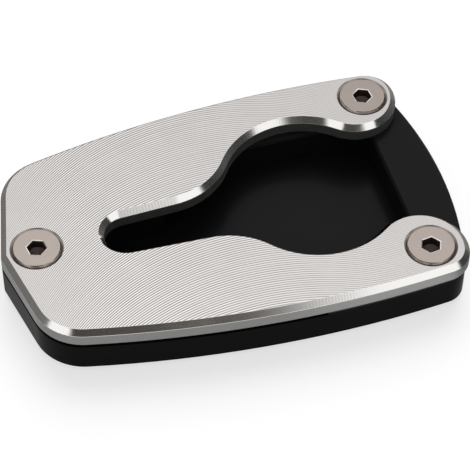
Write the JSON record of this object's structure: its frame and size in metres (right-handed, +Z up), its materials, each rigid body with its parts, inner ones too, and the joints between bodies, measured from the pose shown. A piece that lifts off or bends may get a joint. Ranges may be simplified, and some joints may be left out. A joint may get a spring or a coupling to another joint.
{
  "type": "kickstand foot enlarger",
  "caption": "Clamp-on plate that widens a motorcycle side stand's foot: black base with a foot pocket under a bevelled silver keyhole plate held by countersunk screws.",
  "frame": {"origin": "middle of the part on the underside of the base plate", "axes": "+Z up through both plates towards the screw heads, +X from the blunt nose to the curved open end, +Y to the far long side"},
  "size_m": [0.1146, 0.0716, 0.0154],
  "materials": {
    "black_anodised": "black anodised, satin to glossy",
    "machined_silver": "face-milled top with fine concentric tool marks, bright bevelled edges",
    "screw_steel": "turned stainless steel, slightly warm"
  },
  "bodies": {
    "root": {"base_plate": "black_anodised", "top_plate": "machined_silver", "screw_nose": "screw_steel", "screw_far_ear": "screw_steel", "screw_near_ear": "screw_steel"}
  },
  "joints": []
}
